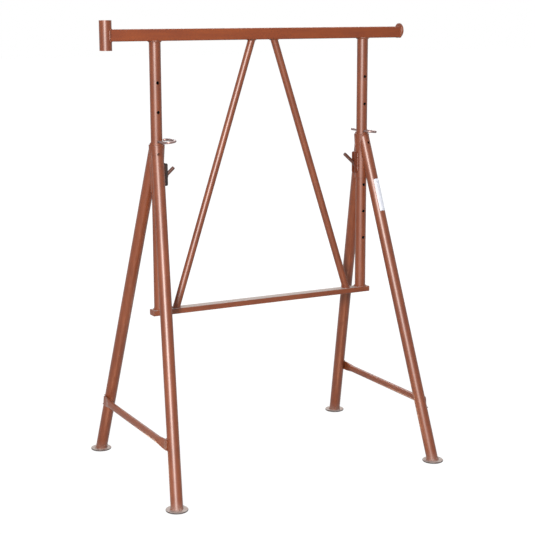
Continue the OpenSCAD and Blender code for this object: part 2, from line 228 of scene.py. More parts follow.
class WeldSettings(bpy.types.PropertyGroup):
    """Sizes of the weld beads"""

    bead: FloatProperty(
        name="Bead radius", description="Radius of a weld bead",
        unit="LENGTH", min=0.0005, default=0.0036)
    thin_bead: FloatProperty(
        name="Thin bead radius", description="Radius of the beads on thin walls",
        unit="LENGTH", min=0.0003, default=0.0017)
    ripple: FloatProperty(
        name="Ripple pitch", description="Distance between the ripples of a bead",
        unit="LENGTH", min=0.0005, default=0.0035)
    ripple_share: FloatProperty(
        name="Ripple height", description="Height of the ripples as a share of the bead's radius",
        subtype="FACTOR", min=0.0, max=0.5, default=0.09)
    apex_rise: FloatProperty(
        name="Leg meeting point", description="Height above the sleeve rims where the leg axes meet",
        unit="LENGTH", default=0.012)


class LabelSettings(bpy.types.PropertyGroup):
    """Place and size of the blank label on the right front leg"""

    start: FloatProperty(
        name="Start", description="Distance from the leg's meeting point to the label's top edge",
        unit="LENGTH", default=0.195)
    length: FloatProperty(
        name="Length", description="Length of the label along the leg",
        unit="LENGTH", default=0.121)
    from_angle: FloatProperty(
        name="From", description="Angle of the first edge, from the leg's front to its outer side",
        subtype="ANGLE", default=math.radians(-24.0))
    to_angle: FloatProperty(
        name="To", description="Angle of the second edge, from the leg's front to its outer side",
        subtype="ANGLE", default=math.radians(105.0))
    thickness: FloatProperty(
        name="Thickness", description="Thickness of the label",
        unit="LENGTH", default=0.0003)


class StageSettings(bpy.types.PropertyGroup):
    """Camera, lamps and floor"""

    camera: FloatVectorProperty(
        name="Camera", description="Place of the camera",
        subtype="TRANSLATION", size=3, default=(-2.13646, -4.12370, 1.63662))
    yaw: FloatProperty(
        name="Yaw", description="Turn of the view from +Y towards +X",
        subtype="ANGLE", default=math.radians(27.742))
    pitch: FloatProperty(
        name="Pitch", description="Angle by which the view looks down",
        subtype="ANGLE", default=math.radians(11.206))
    roll: FloatProperty(
        name="Roll", description="Turn of the camera about its view",
        subtype="ANGLE", default=math.radians(-0.188))
    lens: FloatProperty(
        name="Lens", description="Focal length on a 36 mm sensor",
        subtype="DISTANCE_CAMERA", default=87.456)
    sky_top: FloatVectorProperty(
        name="Sky above", description="Surrounding light from above",
        subtype="COLOR", size=3, min=0.0, max=4.0, default=(0.44, 0.45, 0.48))
    sky_front: FloatVectorProperty(
        name="Sky in front", description="Surrounding light from the camera's side",
        subtype="COLOR", size=3, min=0.0, max=4.0, default=(0.38, 0.56, 0.90))
    sky_left: FloatVectorProperty(
        name="Sky on the left", description="Surrounding light from the camera's left",
        subtype="COLOR", size=3, min=0.0, max=4.0, default=(0.62, 0.65, 0.74))
    sky_right: FloatVectorProperty(
        name="Sky on the right", description="Surrounding light from the camera's right",
        subtype="COLOR", size=3, min=0.0, max=4.0, default=(0.16, 0.22, 0.36))
    sky_back: FloatVectorProperty(
        name="Sky behind", description="Surrounding light from behind the object",
        subtype="COLOR", size=3, min=0.0, max=4.0, default=(0.52, 0.53, 0.56))
    key: FloatProperty(
        name="Key lamp", description="Power of the key lamp on the camera's left",
        unit="POWER", min=0.0, default=355.0)
    key_tint: FloatVectorProperty(
        name="Key colour", description="Colour of the key lamp on the camera's left",
        subtype="COLOR", size=3, min=0.0, max=1.0, default=(1.0, 0.94, 0.91))
    shine: FloatProperty(
        name="Shine lamp", description="Power of the second key lamp, which only highlights show",
        unit="POWER", min=0.0, default=930.0)
    shine_tint: FloatVectorProperty(
        name="Shine colour", description="Colour of the second key lamp, which only highlights show",
        subtype="COLOR", size=3, min=0.0, max=1.0, default=(1.0, 0.86, 0.80))
    back: FloatProperty(
        name="Back lamp", description="Power of the wide lamp behind the object",
        unit="POWER", min=0.0, default=135.0)
    side: FloatProperty(
        name="Side lamp", description="Power of the wide lamp on the object's right",
        unit="POWER", min=0.0, default=62.0)
    strip: FloatProperty(
        name="Ground strips", description="Power of the strips on the ground for each square metre",
        min=0.0, default=27.0)
    strip_width: FloatProperty(
        name="Strip width", description="Width of the strips on the ground",
        unit="LENGTH", min=0.01, default=0.08)
    strip_tint: FloatVectorProperty(
        name="Strip colour", description="Colour of the strips on the ground",
        subtype="COLOR", size=3, min=0.0, max=1.0, default=(1.0, 0.74, 0.50))
    floor: FloatVectorProperty(
        name="Floor", description="Colour with which the floor throws light back on the object",
        subtype="COLOR", size=3, min=0.0, max=1.0, default=(0.080, 0.066, 0.058))


class TrestleSettings(bpy.types.PropertyGroup):
    """All settings of the trestle"""

    paint: PointerProperty(type=PaintSettings, name="Paint", description="Colours and gloss")
    welds: PointerProperty(type=WeldSettings, name="Welds", description="Sizes of the weld beads")
    label: PointerProperty(type=LabelSettings, name="Label", description="The label's place and size")
    stage: PointerProperty(type=StageSettings, name="Stage", description="Camera, lamps and floor")


class Tone:
    """A number socket that takes part in Python arithmetic: every operation adds one Math node."""

    def __init__(self, tree, socket):
        self.tree = tree
        self.socket = socket

    def _math(self, operation, *terms):
        """A Math node on terms that are numbers or other sockets."""
        node = self.tree.nodes.new("ShaderNodeMath")
        node.operation = operation
        for slot, term in zip(node.inputs, terms):
            if isinstance(term, Tone):
                self.tree.links.new(term.socket, slot)
            else:
                slot.default_value = term
        return Tone(self.tree, node.outputs[0])

    def __add__(self, other):
        return self._math("ADD", self, other)

    def __radd__(self, other):
        return self._math("ADD", other, self)

    def __sub__(self, other):
        return self._math("SUBTRACT", self, other)

    def __rsub__(self, other):
        return self._math("SUBTRACT", other, self)

    def __mul__(self, other):
        return self._math("MULTIPLY", self, other)

    def __rmul__(self, other):
        return self._math("MULTIPLY", other, self)

    def __truediv__(self, other):
        return self._math("DIVIDE", self, other)

    def __pow__(self, other):
        return self._math("POWER", self, other)

    def clamped(self):
        """The value held between 0 and 1."""
        return self._math("MINIMUM", self._math("MAXIMUM", self, 0.0), 1.0)

    def step(self, low, high):
        """0 up to low, 1 from high, and a straight rise between them."""
        return ((self - low) / (high - low)).clamped()


class Graph:
    """A node tree with one method that adds nodes."""

    def __init__(self, tree):
        self.tree = tree
        tree.nodes.clear()

    def node(self, kind, settings=None, sockets=None, out=0):
        """A node of that kind with its settings made first, then its sockets' values or links."""
        node = self.tree.nodes.new(kind)
        for key, value in (settings or {}).items():
            setattr(node, key, value)
        for key, value in (sockets or {}).items():
            if isinstance(value, Tone):
                self.tree.links.new(value.socket, node.inputs[key])
            else:
                node.inputs[key].default_value = value
        return Tone(self.tree, node.outputs[out] if node.outputs else None)

    def mix(self, factor, one, two):
        """Colour one where factor is 0 and colour two where it is 1."""
        one, two = (tint if isinstance(tint, Tone) else (*tint, 1.0) for tint in (one, two))
        return self.node("ShaderNodeMix", {"data_type": "RGBA", "clamp_factor": True},
                         {0: factor, MIX_ONE: one, MIX_TWO: two}, out=MIX_RESULT)

    def vector(self, operation, sockets, out=0):
        """A Vector Math node."""
        return self.node("ShaderNodeVectorMath", {"operation": operation}, sockets, out)

    def scaled(self, tint, amount):
        """A colour times a number."""
        return self.vector("SCALE", {0: tint, "Scale": amount})

    def total(self, one, two):
        """The sum of two colours."""
        return self.vector("ADD", {0: one, 1: two})

    def length(self, arrow):
        """The length of a vector."""
        return self.vector("LENGTH", {0: arrow}, out="Value")

    def off_line(self, where, point, way):
        """Distance from a line: the length of its way's cross product with the arm from its point."""
        arm = self.vector("SUBTRACT", {0: where, 1: tuple(point)})
        return self.length(self.vector("CROSS_PRODUCT", {0: arm, 1: tuple(way)}))

    def shown(self):
        """1 for the rays that show the background, straight, glossy and transmitted. Otherwise 0."""
        straight, glossy, through = (self.node("ShaderNodeLightPath", out=f"Is {kind} Ray")
                                     for kind in ("Camera", "Glossy", "Transmission"))
        return (straight + glossy + through).clamped()


class Finish(Graph):
    """A material of one Principled shader."""

    def __init__(self, name, constants):
        self.material = bpy.data.materials.new(name)
        self.material.use_nodes = True
        super().__init__(self.material.node_tree)
        self.output = self.tree.nodes.new("ShaderNodeOutputMaterial")
        self.shader = self.tree.nodes.new("ShaderNodeBsdfPrincipled")
        self.tree.links.new(self.shader.outputs[0], self.output.inputs["Surface"])
        for key, value in constants.items():
            self.shader.inputs[key].default_value = value

    def place(self, scale=(1.0, 1.0, 1.0)):
        """Object coordinates, stretched by the given scale."""
        coords = self.node("ShaderNodeTexCoord", out="Object")
        return self.node("ShaderNodeMapping", {}, {"Vector": coords, "Scale": scale})

    def noise(self, where, scale, detail=2.0, rough=0.5):
        """Fractal noise from 0 to 1 at so many cells a metre."""
        return self.node("ShaderNodeTexNoise", {"noise_dimensions": "3D"},
                         {"Vector": where, "Scale": scale, "Detail": detail, "Roughness": rough})

    def bump(self, height, strength, distance):
        """A normal tilted by a height field."""
        return self.node("ShaderNodeBump", {},
                         {"Height": height, "Strength": strength, "Distance": distance})

    def feed(self, **sockets):
        """Links varying values to the shader's sockets."""
        for key, value in sockets.items():
            self.tree.links.new(value.socket, self.shader.inputs[key.replace("_", " ").title()])
        return self.material


def colour(prop, shade=WHITE):
    """A colour setting times a shade, channel by channel."""
    return tuple(a * b for a, b in zip(prop, shade))


def enamel(settings, name, shade=WHITE, ripple=1.0, slide=SOME_SCRATCHES, run=UPRIGHT_RUN,
           seat=None, ledge=None, bore=None):
    """Red-brown enamel: drifting thickness, rubbed patches, small chips and an orange-peel skin.

    shade tints the paint, ripple scales its skin, and slide its fine scratches along the height.
    run draws the drifts of its thickness out along the axis where it is small. seat is the height
    above which boards have rubbed the face, and ledge the height above which the top is made pale:
    dust lying there, and in part a painted sheen of the sky. bore is a tube's axis point, axis and
    radius: the inside of the tube is made near black, as painted shade."""
    paint = Finish(name, {"IOR": 1.47})
    here = paint.place()
    drift = paint.noise(here, scale=7.0, detail=3.0)
    cloud = paint.noise(here, scale=38.0, detail=4.0, rough=0.6)
    streak = paint.noise(paint.place(run), scale=1.0, detail=3.0, rough=0.6)
    peel = paint.noise(here, scale=420.0)
    grit = paint.noise(here, scale=150.0, detail=4.0, rough=0.7)
    pits = paint.noise(here, scale=90.0)
    drawn = paint.noise(paint.place(SLIDE_SCRATCHES), scale=1.0, rough=0.6)
    height = paint.node("ShaderNodeSeparateXYZ", {}, {0: here}, out="Z")
    thick = (drift * 0.5 + streak * 0.5).step(*THICK_LEVELS)
    rub = (cloud * 0.65 + grit * 0.35).step(*RUB_LEVELS)
    rub = (rub + drawn.step(*SCRATCH_LEVELS) * slide).clamped()
    if seat:
        boards = paint.noise(paint.place(BOARD_SCRATCHES), scale=1.0, detail=3.0, rough=0.6)
        worn = height.step(*(seat - depth for depth in SEAT_DEPTHS))
        rub = (rub + boards.step(*BOARD_LEVELS) * worn).clamped()
    chip = (grit * 0.5 + pits * 0.5).step(*CHIP_LEVELS)
    speck = paint.noise(here, scale=610.0).step(*SPECK_LEVELS)
    low = (1.0 - height / settings.dust_height).clamped()
    dust = (low * low * 0.5 * grit.step(*DUST_LEVELS)).clamped()
    # The pale top uses the dust colour: dust lying there, and in part a painted sheen of the sky on
    # the top face.
    if ledge:
        dust_and_sheen_on_top = height.step(*(ledge - depth for depth in LEDGE_DEPTHS))
        dust = (dust + dust_and_sheen_on_top * (0.45 + 0.6 * cloud)).clamped()
    base = paint.mix(thick, colour(settings.oxide, shade), colour(settings.oxide_deep, shade))
    base = paint.mix(rub * 0.5, base, colour(settings.rubbed, shade))
    base = paint.mix(speck * 0.45, base, colour(settings.soil_and_shade))
    base = paint.mix(chip * 0.8, base, colour(settings.steel))
    base = paint.mix(dust, base, colour(settings.dust))
    rough = settings.gloss + 0.03 * cloud + 0.03 * rub + 0.12 * chip + 0.35 * dust
    if seat:
        rough = rough + 0.25 * worn
    # Painted shade: the inside of a tube is made near black, where shade falls in the bore.
    if bore:
        point, way, radius = bore
        away = paint.off_line(here, point, way)
        inside = 1.0 - away.step(*(radius - depth for depth in BORE_DEPTHS))
        base = paint.mix(inside, base, colour(settings.soil_and_shade, BORE_PAINTED_SHADE))
    skin = peel * 0.2 + cloud * 0.5 + grit * 0.3 * ripple - chip * 0.5
    return paint.feed(base_color=base, roughness=rough,
                      normal=paint.bump(skin, strength=0.018 * ripple, distance=0.0010))


def foot_enamel(settings):
    """The foot plates: enamel worn grey by the ground, darker on the rim, with gritty pits."""
    plate = Finish("foot_enamel", {"IOR": 1.42})
    here = plate.place()
    cloud = plate.noise(here, scale=55.0, detail=4.0, rough=0.6)
    grit = plate.noise(here, scale=340.0, detail=4.0, rough=0.7)
    height = plate.node("ShaderNodeSeparateXYZ", {}, {0: here}, out="Z")
    worn = (cloud * 0.6 + grit * 0.4).step(*FOOT_WORN_LEVELS)
    rim = 1.0 - height.step(*FOOT_RIM)
    base = plate.mix(worn * 0.74, colour(settings.oxide_deep), colour(settings.dust))
    base = plate.mix(rim * 0.9, base, colour(settings.soil_and_shade))
    return plate.feed(base_color=base, roughness=0.32 + 0.16 * worn,
                      normal=plate.bump(grit + cloud, strength=0.07, distance=0.0010))


def handled_steel(settings):
    """Bare bar with a thin rust film: metal that shines where handled, with drawn scratches."""
    bar = Finish("handled_steel", {"IOR": 1.5})
    here = bar.place()
    cloud = bar.noise(here, scale=60.0, detail=4.0, rough=0.6)
    grain = bar.noise(here, scale=420.0, detail=3.0)
    film = (cloud * 0.7 + grain * 0.3).step(*RUST_LEVELS)
    drawn = bar.noise(bar.place(BAR_SCRATCHES), scale=1.0)
    rust = film * 0.3
    base = bar.mix(rust, colour(settings.steel), colour(settings.oxide_deep))
    return bar.feed(base_color=base, metallic=0.42 - 0.3 * rust,
                    roughness=0.30 + 0.25 * rust + 0.08 * drawn,
                    normal=bar.bump(drawn * 0.5 + film * 0.5, strength=0.10, distance=0.0006))


def blank_vinyl(settings):
    """White vinyl with a faint greying and a soft, slightly wrinkled face."""
    sheet = Finish("blank_vinyl", {"IOR": 1.46})
    here = sheet.place()
    cloud = sheet.noise(here, scale=45.0, detail=3.0, rough=0.55)
    speck = sheet.noise(here, scale=700.0).step(*VINYL_SPECK_LEVELS)
    base = sheet.mix(cloud * 0.06 + speck * 0.06, colour(settings.vinyl), GREYED_VINYL)
    return sheet.feed(base_color=base, roughness=0.36 + 0.16 * cloud,
                      normal=sheet.bump(cloud, strength=0.15, distance=0.0008))


def dress(node, material):
    """Gives a CAD node's object one material."""
    piece = frame["nodes"][node]
    if not piece.material_slots:
        piece.data.materials.append(material)
    for slot in piece.material_slots:
        slot.material = material


def centre(node):
    """The middle and the half sizes of a CAD node's box."""
    low, high = (np.array(corner, dtype=float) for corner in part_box(node))
    return (low + high) / 2.0, (high - low) / 2.0


def signed_volume(points, quads):
    """Six times the volume inside a closed set of quads, positive when they face outwards: for each
    of a quad's two triangles, its first corner times the cross product of the other two."""
    a, b, c, d = (points[quads[:, k]] for k in range(4))
    return float(np.sum(a * np.cross(b, c)) + np.sum(a * np.cross(c, d)))


def closed_grid(grid, ring):
    """Points and outward faces of a grid whose second way always closes on itself. Its first way
    closes on itself if ring is set, and otherwise each end closes on a pole."""
    rows, cols = grid.shape[:2]
    points = grid.reshape(-1, 3)
    i = np.arange(rows if ring else rows - 1)[:, None]
    j = np.arange(cols)[None, :]
    row, next_row = i * cols, (i + 1) % rows * cols
    next_j = (j + 1) % cols
    quads = np.stack([row + j, row + next_j, next_row + next_j, next_row + j], -1).reshape(-1, 4)
    tris = np.zeros((0, 3), dtype=int)
    if not ring:
        poles = np.stack([grid[0].mean(0), grid[-1].mean(0)])
        first, last = len(points), len(points) + 1
        points = np.concatenate([points, poles])
        k, next_k = j[0], next_j[0]
        tail = (rows - 1) * cols
        tris = np.concatenate([
            np.stack([np.full(cols, first), next_k, k], -1),
            np.stack([np.full(cols, last), tail + k, tail + next_k], -1)])
    middle = points.mean(0)
    if signed_volume(points - middle, quads) < 0.0:
        quads, tris = quads[:, ::-1], tris[:, ::-1]
    return points, quads, tris


def make_piece(name, shells, material, body):
    """One mesh object from several closed shells, smooth, at the origin, riding on a body."""
    points, faces, start = [], [], 0
    for shell_points, quads, tris in shells:
        points.append(shell_points)
        faces.extend((quads + start).tolist())
        faces.extend((tris + start).tolist())
        start += len(shell_points)
    mesh = bpy.data.meshes.new(name)
    mesh.from_pydata(np.concatenate(points).tolist(), [], faces)
    if mesh.validate():
        raise RuntimeError(f"{name} had faces that don't hold")
    mesh.polygons.foreach_set("use_smooth", np.ones(len(mesh.polygons), dtype=bool))
    mesh.materials.append(material)
    piece = bpy.data.objects.new(name, mesh)
    bpy.context.scene.collection.objects.link(piece)
    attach(piece, body)


def evenly(path, ring, step):
    """The path as points at even arc length, about step apart, and each point's arc length."""
    line = np.concatenate([path, path[:1]]) if ring else path
    along = np.concatenate([[0.0], np.cumsum(np.linalg.norm(np.diff(line, axis=0), axis=1))])
    count = max(FEWEST_POINTS, int(round(along[-1] / step)))
    want = np.linspace(0.0, along[-1], count, endpoint=not ring)
    return np.stack([np.interp(want, along, line[:, k]) for k in range(3)], -1), want


def bead(path, ring, radius, settings):
    """A weld bead: a circle carried along the path, whose radius swells and sinks in even ripples
    with a slow uneven drift, and which rounds off to a pole at the ends of an open path."""
    points, along = evenly(np.asarray(path, dtype=float), ring, settings.ripple / RIPPLE_POINTS)
    if ring:
        tangent = np.roll(points, -1, 0) - np.roll(points, 1, 0)
    else:
        tangent = np.gradient(points, axis=0)
    tangent /= np.linalg.norm(tangent, axis=1, keepdims=True)
    pick = np.eye(3)[np.argmin(np.abs(tangent).max(0))]
    one = pick - tangent * (tangent @ pick)[:, None]
    one /= np.linalg.norm(one, axis=1, keepdims=True)
    two = np.cross(tangent, one)
    total = along[-1] + (along[1] - along[0] if ring else 0.0)
    waves = max(2, round(total / settings.ripple))
    phase = 2.0 * np.pi * along / total
    swell = 1.0 + settings.ripple_share * np.sin(phase * waves)
    # The slow drift: heights as shares of the radius, waves along the bead, and where each starts
    drift = ((0.09, 3, 0.7), (0.08, round(0.23 * waves), 1.9), (0.06, round(0.41 * waves), 0.0))
    for height, count, start in drift:
        swell += height * np.sin(count * phase + start)
    if not ring:
        edge = np.clip(np.minimum(along, along[-1] - along) / (BEAD_END * radius), BEAD_TIP, 1.0)
        swell *= np.sqrt(np.clip(1.0 - (1.0 - edge) ** 2, 0.0, 1.0))
    angle = np.linspace(0.0, 2.0 * np.pi, BEAD_ROUND, endpoint=False)[None, :, None]
    spoke = one[:, None] * np.cos(angle) + two[:, None] * np.sin(angle)
    return closed_grid(points[:, None] + radius * swell[:, None, None] * spoke, ring)


def ellipse(middle, wide, deep, count=96):
    """A level ellipse about a point, with the given half axis vectors."""
    t = np.linspace(0.0, 2.0 * np.pi, count, endpoint=False)[:, None]
    return np.asarray(middle) + np.cos(t) * np.asarray(wide) + np.sin(t) * np.asarray(deep)


def ring_bead(middle, wide, deep, radius, weld):
    """A bead round a level ellipse with the given half widths along x and y."""
    return bead(ellipse(middle, (wide, 0.0, 0.0), (0.0, deep, 0.0)), True, radius, weld)


def band_bead(x, outline, height, radius, weld):
    """A bead round a tube along x: an outline in (y, z), raised to a height, at one x or several."""
    along = np.broadcast_to(x, len(outline))
    path = np.column_stack([along, outline[:, 0], outline[:, 1] + height])
    return bead(path, True, radius, weld)


def rounded_outline(half_y, half_z, corner, count=24):
    """A rectangle in (y, z) with round corners: each quarter turn is carried to its own corner."""
    turn = np.linspace(0.0, 2.0 * np.pi, 4 * count, endpoint=False) + np.pi / (4.0 * count)
    y = np.sign(np.cos(turn)) * (half_y - corner) + corner * np.cos(turn)
    z = np.sign(np.sin(turn)) * (half_z - corner) + corner * np.sin(turn)
    return np.stack([y, z], -1)


class LegAxis:
    """A leg tube's axis, from the point where a pair's axes meet down to the middle of its foot.

    outer and front are unit vectors across it, towards the trestle's outer side and its own end."""

    def __init__(self, side, end, apex_rise):
        upright, _ = centre(f"{side}_upright")
        low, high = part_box(f"{side}_sleeve")
        foot, _ = centre(f"{side}_{end}_foot")
        self.radius = LEG_RADIUS
        self.sleeve_r = (high[0] - low[0]) / 2.0
        self.apex = np.array([upright[0], 0.0, high[2] + apex_rise])
        reach = np.array([foot[0], foot[1], 0.0]) - self.apex
        self.down = reach / np.linalg.norm(reach)
        out = np.array([SIDES[side], 0.0, 0.0])
        self.outer = out - self.down * (out @ self.down)
        self.outer /= np.linalg.norm(self.outer)
        front = np.cross(self.down, self.outer)
        self.front = front if front[1] * ENDS[end] > 0.0 else -front

    def level(self, height):
        """Middle and half axis vectors of the tube's level cut at that height: an ellipse whose long
        half axis is the radius over the axis's downward share."""
        middle = self.apex + self.down * ((self.apex[2] - height) / -self.down[2])
        flat = np.array([self.down[0], self.down[1], 0.0])
        flat /= np.linalg.norm(flat)
        return middle, flat * self.radius / -self.down[2], np.cross(UP, flat) * self.radius


def sleeve_seam(leg):
    """The line on the sleeve where a leg tube leaves it: at each angle round the sleeve, the depth
    where its face is one tube radius from the leg's axis, found by halving an interval."""
    toward = math.atan2(leg.down[1], leg.down[0])
    turn = toward + np.linspace(-SLEEVE_SEAM_HALF_TURN, SLEEVE_SEAM_HALF_TURN, SLEEVE_SEAM_POINTS)
    face = leg.sleeve_r * np.stack([np.cos(turn), np.sin(turn)], -1)
    shallow, deep = (np.full(len(turn), depth) for depth in SLEEVE_SEAM_DEPTHS)
    for _ in range(SEAM_ROUNDS):
        mid = (shallow + deep) / 2.0
        ray = np.concatenate([face, -mid[:, None]], 1)
        away = np.einsum("ij,ij->i", ray, ray) - (ray @ leg.down) ** 2 - leg.radius ** 2
        shallow, deep = np.where(away < 0.0, mid, shallow), np.where(away < 0.0, deep, mid)
    return leg.apex + np.concatenate([face * SLEEVE_SEAM_LIFT, -shallow[:, None]], 1)


def brace_half_width(deep, reach, rise):
    """Half width of a brace's level cut: its half depth times the slope's length for a unit of rise.

    The brace runs over its box's reach less two of these, so the sum is repeated till it settles."""
    wide = deep
    for _ in range(SLOPE_ROUNDS):
        wide = deep * math.hypot(1.0, (reach - 2.0 * wide) / rise)
    return wide


def frame_beads(weld):
    """The beads of the sliding frame: rings where uprights and braces meet the beam and the rail,
    and bands round the beam at the socket and the end stop and round the rail's ends."""
    shells = []
    beam, beam_half = centre("top_beam")
    rail, rail_half = centre("bottom_rail")
    under = beam[2] - beam_half[2]
    over = rail[2] + rail_half[2]
    for side in SIDES:
        upright, half = centre(f"{side}_upright")
        for height in (under, over):
            shells.append(ring_bead((upright[0], 0.0, height), half[0], half[0], weld.bead, weld))
        low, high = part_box(f"{side}_brace")
        deep = (high[1] - low[1]) / 2.0
        wide = brace_half_width(deep, high[0] - low[0], under - over)
        ends = (high[0] - wide, low[0] + wide)
        for x, height in zip(ends if side == "left" else ends[::-1], (under, over)):
            shells.append(ring_bead((x, 0.0, height), wide, deep,
                                    BEAD_SHARE["brace"] * weld.bead, weld))
    socket, socket_half = centre("guard_post_socket")
    outline = rounded_outline(beam_half[1] - SOCKET_SINK, beam_half[2], BEAM_CORNER)
    wrap = socket[0] + np.sqrt(np.maximum(socket_half[0] ** 2 - outline[:, 0] ** 2, 0.0))
    shells.append(band_bead(wrap + SOCKET_LIFT, outline, beam[2],
                            BEAD_SHARE["socket"] * weld.bead, weld))
    stop_low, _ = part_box("end_stop")
    outline = rounded_outline(beam_half[1], beam_half[2] - EDGE_SINK, BEAM_CORNER)
    shells.append(band_bead(stop_low[0], outline, beam[2], BEAD_SHARE["stop"] * weld.bead, weld))
    outline = rounded_outline(rail_half[1] - EDGE_SINK, rail_half[2] - EDGE_SINK, RAIL_CORNER)
    for x in (rail[0] - rail_half[0], rail[0] + rail_half[0]):
        shells.append(band_bead(x, outline, rail[2], weld.thin_bead, weld))
    return shells


def collar_beads(side, leg, weld):
    """The beads of a leg pair's collar: a ring round the sleeve at its top, the thin inner seam, and
    the outer seam, where the leg tubes' faces cut the plane between them. The outer seam's x at each
    depth solves the tube's quadratic."""
    sign = SIDES[side]
    axis_x = leg.apex[0]
    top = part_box(f"{side}_front_leg")[1][2]
    ring = leg.sleeve_r + COLLAR_STEP
    flat = np.zeros(SEAM_POINTS)
    height = np.linspace(*(top - drop for drop in COLLAR_SEAM_SPAN), SEAM_POINTS)
    inner = leg.sleeve_r + COLLAR_WALL * np.linspace(*COLLAR_SEAM_SHARE, SEAM_POINTS)
    inner_seam = np.column_stack([axis_x - sign * inner, flat, height])
    depth = np.linspace(leg.apex[2] - top + OUTER_SEAM_START, OUTER_SEAM_END, SEAM_POINTS)
    a = 1.0 - leg.down[0] ** 2
    b = 2.0 * leg.down[0] * leg.down[2] * depth
    c = depth ** 2 * (1.0 - leg.down[2] ** 2) - leg.radius ** 2
    outer = (-b + sign * np.sqrt(b * b - 4.0 * a * c)) / (2.0 * a)
    outer_seam = np.column_stack([axis_x + outer, flat, leg.apex[2] - depth])
    return [ring_bead((axis_x, 0.0, top), ring, ring, BEAD_SHARE["collar"] * weld.bead, weld),
            bead(inner_seam, False, weld.thin_bead, weld),
            bead(outer_seam, False, weld.bead, weld)]


def leg_beads(side, weld):
    """The beads of one leg pair: its collar, and for each leg the sleeve seam, the ring on the foot
    plate, level lines along the tie's end and an upright line beside the lever's cheek plate."""
    sign = SIDES[side]
    legs = {end: LegAxis(side, end, weld.apex_rise) for end in ENDS}
    shells = collar_beads(side, legs["front"], weld)
    tie_mid, _ = centre(f"{side}_leg_tie")
    cheek_low, cheek_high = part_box(f"{side}_lever_cheeks")
    tie_span = np.zeros((TIE_POINTS, 3))
    tie_span[:, 1] = np.linspace(-TIE_HALF_WIDTH, TIE_HALF_WIDTH, TIE_POINTS)
    for end, leg in legs.items():
        plate_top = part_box(f"{side}_{end}_foot")[1][2]
        shells.append(bead(sleeve_seam(leg), False, BEAD_SHARE["seam"] * weld.bead, weld))
        shells.append(bead(ellipse(*leg.level(plate_top)), True,
                           BEAD_SHARE["foot"] * weld.bead, weld))
        for rim in (-TIE_RIM, TIE_RIM):
            mid = leg.level(tie_mid[2] + rim)[0] + leg.outer * (leg.radius + TIE_LIFT)
            shells.append(bead(mid + tie_span, False, BEAD_SHARE["tie"] * weld.bead, weld))
        y = ENDS[end] * (max(abs(cheek_low[1]), abs(cheek_high[1])) + CHEEK_LIFT[1])
        x = leg.apex[0] - sign * (math.sqrt(leg.sleeve_r ** 2 - y ** 2) + CHEEK_LIFT[0])
        z = np.linspace(cheek_low[2] + CHEEK_MARGIN, cheek_high[2] - CHEEK_MARGIN, SEAM_POINTS)
        beside = np.column_stack([np.full_like(z, x), np.full_like(z, y), z])
        shells.append(bead(beside, False, weld.bead, weld))
    return shells


def label_shell(leg, label):
    """A thin closed shell on the leg tube: distance along the leg by angle round it, out and back at
    two radii, with its four corners rounded by drawing in the ends."""
    u = np.linspace(-1.0, 1.0, LABEL_GRID[0])
    v = np.linspace(0.0, 1.0, LABEL_GRID[1])
    middle = (label.from_angle + label.to_angle) / 2.0
    half = (label.to_angle - label.from_angle) / 2.0
    past = np.maximum(np.abs(2.0 * v - 1.0) - 1.0 + LABEL_CORNER, 0.0) / LABEL_CORNER
    pull = 1.0 - LABEL_CORNER * (1.0 - np.sqrt(np.clip(1.0 - past ** 2, 0.0, 1.0)))
    angle = (middle + half * u[None, :] * pull[:, None])[..., None]
    spoke = leg.front * np.cos(angle) + leg.outer * np.sin(angle)
    axis = leg.apex + leg.down * (label.start + label.length * v)[:, None]
    inner = leg.radius + LABEL_LIFT
    back = axis[:, None] + inner * spoke
    face = axis[:, None] + (inner + label.thickness) * spoke
    return closed_grid(np.concatenate([face, back[:, ::-1]], 1), False)


class TRESTLE_OT_paint_frame(bpy.types.Operator):
    """Paint the tubes, plates and levers in enamel"""

    bl_idname = "trestle.paint_frame"
    bl_label = "Paint Frame"

    def execute(self, context):
        trestle = context.scene.trestle
        paint = trestle.paint
        plain = enamel(paint, "oxide_enamel")
        for entry in frame["record"]["subparts"]:
            if entry["material_slot"] == "oxide_paint":
                dress(entry["node"], plain)
        beam_top, rail_top = (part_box(node)[1][2] for node in ("top_beam", "bottom_rail"))
        dress("top_beam", enamel(paint, "beam_enamel", BEAM_SHADE, slide=FEW_SCRATCHES,
                                 run=LEVEL_RUN, seat=beam_top))
        # The rail's top is made pale: dust lying there, and in part a painted sheen of the sky.
        dress("bottom_rail", enamel(paint, "rail_enamel", run=LEVEL_RUN, ledge=rail_top))
        # The brackets' enamel carries painted shade: nearly black on the left, in the front leg's
        # shadow, a little darker on the right.
        brackets = {"left": enamel(paint, "left_bracket_shadow_enamel", LEFT_BRACKET_PAINTED_SHADOW),
                    "right": enamel(paint, "right_bracket_shade_enamel", RIGHT_BRACKET_PAINTED_SHADE)}
        lever = enamel(paint, "lever_enamel", LEVER_SHADE, ripple=1.5)
        foot = foot_enamel(paint)
        for side in SIDES:
            self.paint_tubes(side, paint, trestle.welds.apex_rise)
            dress(f"{side}_clamp_lever", lever)
            for plate in ("cheeks", "pivot"):
                dress(f"{side}_lever_{plate}", brackets[side])
            for end in ENDS:
                dress(f"{side}_{end}_foot", foot)
        return {"FINISHED"}

    def paint_tubes(self, side, paint, apex_rise):
        """Enamel for one side's upright and leg tubes, with painted shade that makes their inside
        near black.
        """
        middle, half = centre(f"{side}_upright")
        bore = ((middle[0], 0.0, 0.0), UP, half[0])
        dress(f"{side}_upright",
              enamel(paint, f"{side}_upright_enamel", slide=SLIDING_SCRATCHES, bore=bore))
        for end in ENDS:
            leg = LegAxis(side, end, apex_rise)
            bore = (leg.apex, leg.down, leg.radius)
            dress(f"{side}_{end}_leg", enamel(paint, f"{side}_{end}_leg_enamel", bore=bore))


class TRESTLE_OT_finish_steel(bpy.types.Operator):
    """Give the height pins their handled steel"""

    bl_idname = "trestle.finish_steel"
    bl_label = "Finish Steel"

    def execute(self, context):
        steel = handled_steel(context.scene.trestle.paint)
        for side in SIDES:
            dress(f"{side}_height_pin", steel)
        return {"FINISHED"}


